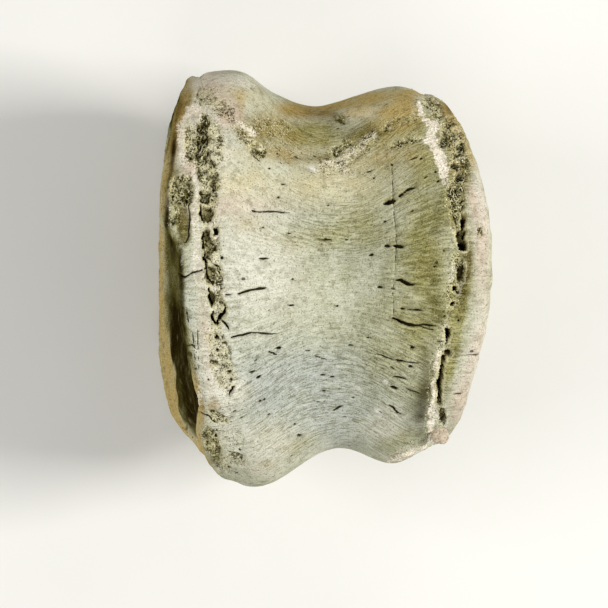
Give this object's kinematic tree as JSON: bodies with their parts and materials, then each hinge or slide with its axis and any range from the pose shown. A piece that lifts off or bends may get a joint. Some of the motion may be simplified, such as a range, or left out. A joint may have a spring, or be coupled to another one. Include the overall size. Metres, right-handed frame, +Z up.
{
  "type": "whale tail vertebra centrum with end plates",
  "caption": "Weathered centrum of a young whale's tail vertebra lying on its side, spool shaped, with an unfused end plate at each end.",
  "frame": {"origin": "middle of the bone's outline from above, at the level of the floor it lies on", "axes": "+X along the spine from the front end plate to the rear one, +Y towards the animal's back, +Z up from the floor through the two flanks"},
  "size_m": [0.0926, 0.1218, 0.1103],
  "materials": {
    "centrum_bone": "matte",
    "front_plate_bone": "matte",
    "rear_plate_bone": "matte"
  },
  "bodies": {
    "root": {"centrum": "centrum_bone", "epiphysis_front": "front_plate_bone", "epiphysis_rear": "rear_plate_bone"}
  },
  "joints": []
}
